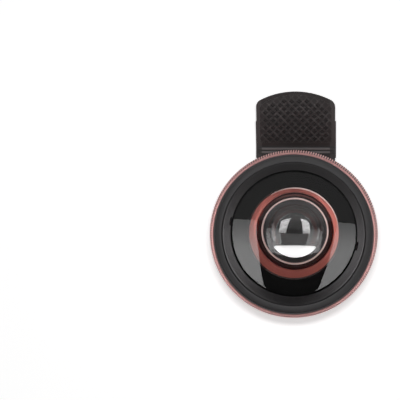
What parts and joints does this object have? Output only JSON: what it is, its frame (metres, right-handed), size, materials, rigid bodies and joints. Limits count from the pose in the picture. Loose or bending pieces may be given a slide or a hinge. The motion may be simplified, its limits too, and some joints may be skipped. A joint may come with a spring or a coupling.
{
  "type": "clip-on phone lens",
  "caption": "Clip-on phone lens: knurled rose-gold wide-angle barrel screwed on a macro lens, held by a sprung black clip.",
  "frame": {"origin": "on the optical axis, in the flat outer face of the clip's rear arm, on which the lens lies", "axes": "+Z along the optical axis out of the front lens, +Y towards the squeeze levers, +X across the clip"},
  "size_m": [0.052, 0.0704, 0.0415],
  "materials": {
    "rose_gold": "satin rose-gold anodising",
    "black_anodised": "satin black anodising",
    "glass": "polished, coated",
    "clip_plastic": "satin black moulding",
    "grip_rubber": "matt, diamond pattern",
    "jaw_rubber": "matt soft pad",
    "steel": "bright drawn wire and pin"
  },
  "bodies": {
    "clip_front": {"front_arm": "clip_plastic", "front_grip_pad": "grip_rubber", "front_pad": "jaw_rubber", "pivot_pin": "steel", "torsion_spring": "steel"},
    "rear_jaw": {"rear_arm": "clip_plastic", "rear_grip_pad": "grip_rubber", "rear_pad": "jaw_rubber"},
    "macro_travel": {"macro_lens": "glass"},
    "macro_unit": {"macro_barrel": "rose_gold", "macro_lock_ring": "black_anodised"},
    "wide_travel": {"front_lens": "glass"},
    "wide_unit": {"wide_barrel": "rose_gold", "filter_ring": "black_anodised", "lens_lock_ring": "black_anodised"}
  },
  "joints": [
    {"name": "jaw_hinge", "type": "hinge", "parent": "clip_front", "child": "rear_jaw", "pos_m": [0, 0.0255, 0.0057], "axis": [1, 0, 0], "range_deg": [0, 28], "stiffness_Nm_per_rad": 0.12, "springref_deg": -51.57, "deforming": ["torsion_spring"]},
    {"name": "macro_lift", "type": "slide", "parent": "clip_front", "child": "macro_travel", "axis": [0, 0, 1], "range_m": [0, 0.00301]},
    {"name": "macro_turn", "type": "hinge", "parent": "macro_travel", "child": "macro_unit", "pos_m": [0, 0, 0], "axis": [0, 0, 1], "range_deg": [0, 1440]},
    {"name": "wide_lift", "type": "slide", "parent": "macro_unit", "child": "wide_travel", "axis": [0, 0, 1], "range_m": [0, 0.00301]},
    {"name": "wide_turn", "type": "hinge", "parent": "wide_travel", "child": "wide_unit", "pos_m": [0, 0, 0], "axis": [0, 0, 1], "range_deg": [0, 1440]}
  ],
  "couplings": [
    {"joint": "macro_lift", "follows": "macro_turn", "m_per_rad": 0.00011937},
    {"joint": "wide_lift", "follows": "wide_turn", "m_per_rad": 0.00011937}
  ]
}
